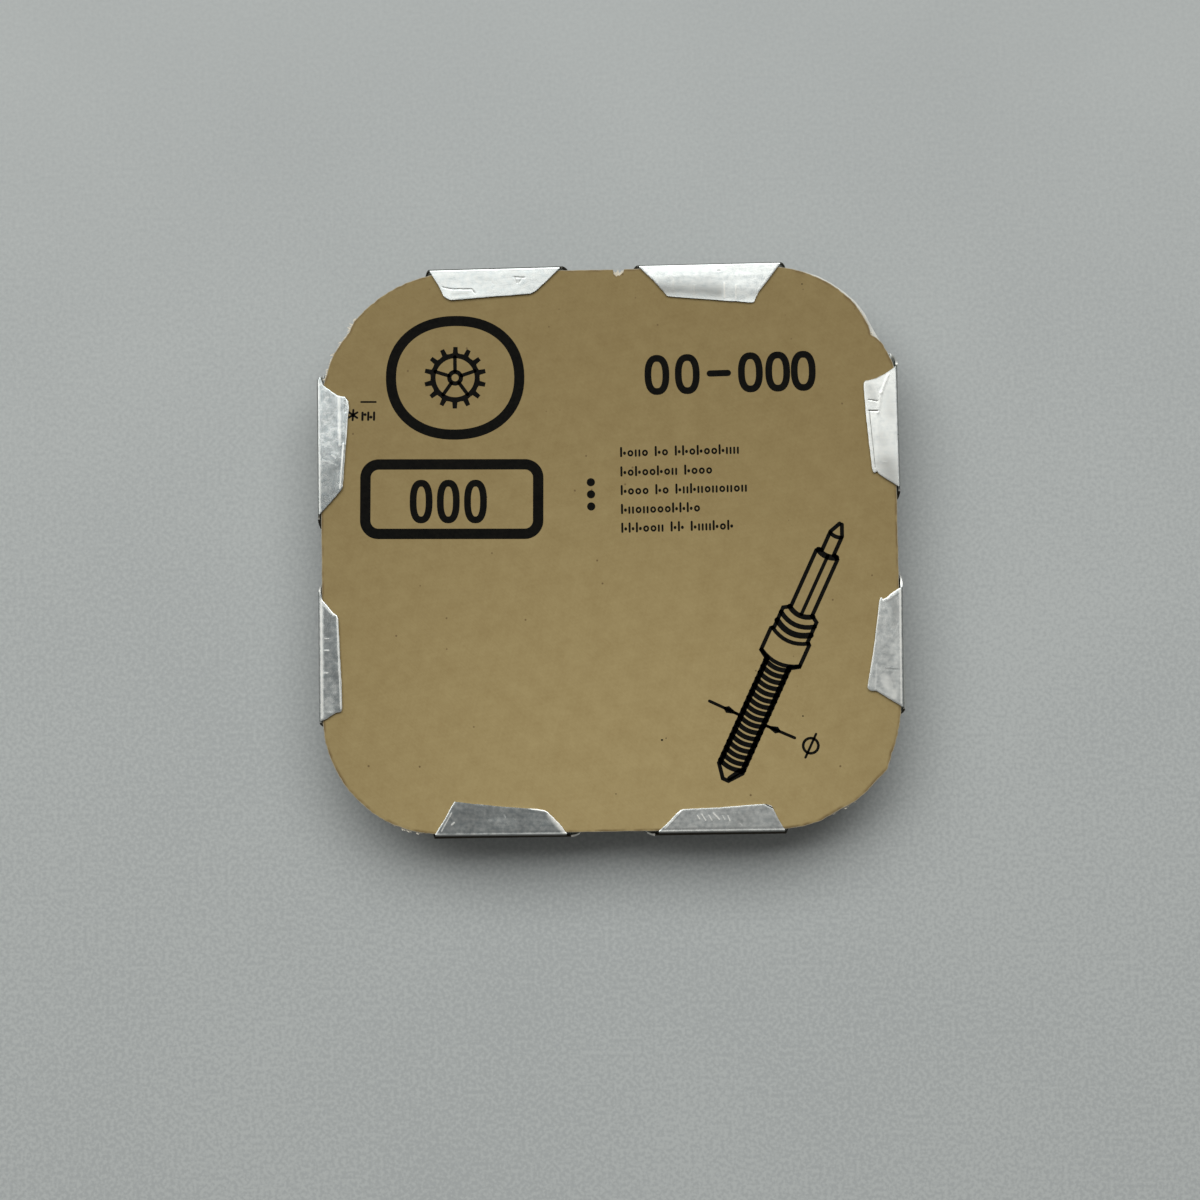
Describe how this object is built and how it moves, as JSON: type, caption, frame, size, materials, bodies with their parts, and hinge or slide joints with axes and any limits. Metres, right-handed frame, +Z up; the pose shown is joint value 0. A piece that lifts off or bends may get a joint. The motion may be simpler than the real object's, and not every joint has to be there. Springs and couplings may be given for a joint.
{
  "type": "watch stem packet",
  "caption": "Sealed trade packet of loose winding stems: clear bubble, printed board card and a thin aluminium frame whose folded tabs clamp the card's edge and bend open.",
  "frame": {"origin": "middle of the bubble's flat floor, the face that the packet rests on", "axes": "+Z up, out of the printed card; +X to the right and +Y away from the reader, as the card is read"},
  "size_m": [0.048, 0.0472, 0.0056],
  "materials": {
    "aluminium_sheet": "satin",
    "clear_bubble": "gloss",
    "board": "matte",
    "stem_steel": "polished"
  },
  "bodies": {
    "packet": {"frame": "aluminium_sheet", "bubble": "clear_bubble", "card": "board", "winding_stem_1": "stem_steel", "winding_stem_2": "stem_steel", "winding_stem_3": "stem_steel"},
    "tab_right_lower": {"tab_right_lower": "aluminium_sheet"},
    "tab_right_upper": {"tab_right_upper": "aluminium_sheet"},
    "tab_top_right": {"tab_top_right": "aluminium_sheet"},
    "tab_top_left": {"tab_top_left": "aluminium_sheet"},
    "tab_left_upper": {"tab_left_upper": "aluminium_sheet"},
    "tab_left_lower": {"tab_left_lower": "aluminium_sheet"},
    "tab_bottom_left": {"tab_bottom_left": "aluminium_sheet"},
    "tab_bottom_right": {"tab_bottom_right": "aluminium_sheet"}
  },
  "joints": [
    {"name": "tab_right_lower_fold", "type": "hinge", "parent": "packet", "child": "tab_right_lower", "pos_m": [0.0238, -0.00837, 0.00542], "axis": [0, 1, 0], "range_deg": [0, 100]},
    {"name": "tab_right_upper_fold", "type": "hinge", "parent": "packet", "child": "tab_right_upper", "pos_m": [0.0238, 0.0097, 0.00542], "axis": [0, 1, 0], "range_deg": [0, 100]},
    {"name": "tab_top_right_fold", "type": "hinge", "parent": "packet", "child": "tab_top_right", "pos_m": [0.00854, 0.02335, 0.00542], "axis": [-1, 0, 0], "range_deg": [0, 100]},
    {"name": "tab_top_left_fold", "type": "hinge", "parent": "packet", "child": "tab_top_left", "pos_m": [-0.00908, 0.02335, 0.00542], "axis": [-1, 0, 0], "range_deg": [0, 100]},
    {"name": "tab_left_upper_fold", "type": "hinge", "parent": "packet", "child": "tab_left_upper", "pos_m": [-0.0238, 0.00872, 0.00542], "axis": [0, -1, 0], "range_deg": [0, 100]},
    {"name": "tab_left_lower_fold", "type": "hinge", "parent": "packet", "child": "tab_left_lower", "pos_m": [-0.0238, -0.00881, 0.00542], "axis": [0, -1, 0], "range_deg": [0, 100]},
    {"name": "tab_bottom_left_fold", "type": "hinge", "parent": "packet", "child": "tab_bottom_left", "pos_m": [-0.00926, -0.02335, 0.00542], "axis": [1, 0, 0], "range_deg": [0, 100]},
    {"name": "tab_bottom_right_fold", "type": "hinge", "parent": "packet", "child": "tab_bottom_right", "pos_m": [0.00881, -0.02335, 0.00542], "axis": [1, 0, 0], "range_deg": [0, 100]}
  ]
}
